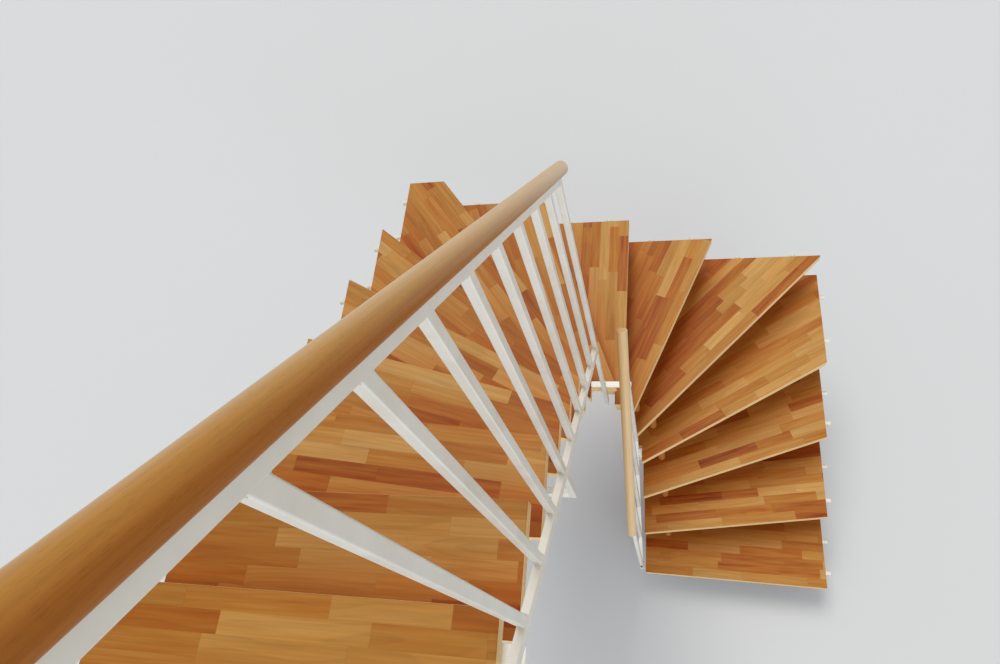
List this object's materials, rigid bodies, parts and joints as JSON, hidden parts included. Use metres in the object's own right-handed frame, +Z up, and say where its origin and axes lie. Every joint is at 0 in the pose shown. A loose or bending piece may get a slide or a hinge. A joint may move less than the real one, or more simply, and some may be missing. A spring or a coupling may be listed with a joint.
{
  "type": "half-turn winder staircase",
  "caption": "Half-turn winder stair with open risers: laminated beech treads hung between three walls, white steel balustrades and round beech handrails around a narrow well.",
  "frame": {"origin": "on the floor, at the centre of the floor plate's underside, below the inner end of the first tread", "axes": "+Z up, +Y from the first tread towards the back wall, +X from the well towards the right wall, where the stair starts"},
  "size_m": [1.92, 2.145, 3.9642],
  "materials": {
    "tread_wood": "satin varnish",
    "rail_wood": "satin varnish",
    "painted_steel": "satin white",
    "zinc_steel": "zinc plated"
  },
  "bodies": {
    "root": {"tread_1": "tread_wood", "tread_2": "tread_wood", "tread_3": "tread_wood", "tread_4": "tread_wood", "tread_5": "tread_wood", "tread_6": "tread_wood", "tread_7": "tread_wood", "tread_8": "tread_wood", "tread_9": "tread_wood", "tread_10": "tread_wood", "tread_11": "tread_wood", "tread_12": "tread_wood", "tread_13": "tread_wood", "tread_14": "tread_wood", "tread_15": "tread_wood", "step_bolt_1": "tread_wood", "step_bolt_2": "tread_wood", "step_bolt_3": "tread_wood", "step_bolt_4": "tread_wood", "step_bolt_5": "tread_wood", "step_bolt_6": "tread_wood", "step_bolt_7": "tread_wood", "step_bolt_8": "tread_wood", "step_bolt_9": "tread_wood", "step_bolt_10": "tread_wood", "step_bolt_11": "tread_wood", "step_bolt_12": "tread_wood", "step_bolt_13": "tread_wood", "step_bolt_14": "tread_wood", "floor_foot": "zinc_steel", "right_wall_anchors": "painted_steel", "back_wall_anchors": "painted_steel", "left_wall_anchors": "painted_steel", "landing_angle": "zinc_steel", "lower_balustrade": "painted_steel", "lower_handrail": "rail_wood", "lower_foot_bracket": "painted_steel", "lower_lug": "painted_steel", "upper_balustrade": "painted_steel", "upper_feet": "painted_steel", "upper_handrail": "rail_wood", "upper_middle_bracket": "painted_steel", "upper_top_bracket": "painted_steel", "well_end_bar": "painted_steel"}
  },
  "joints": []
}
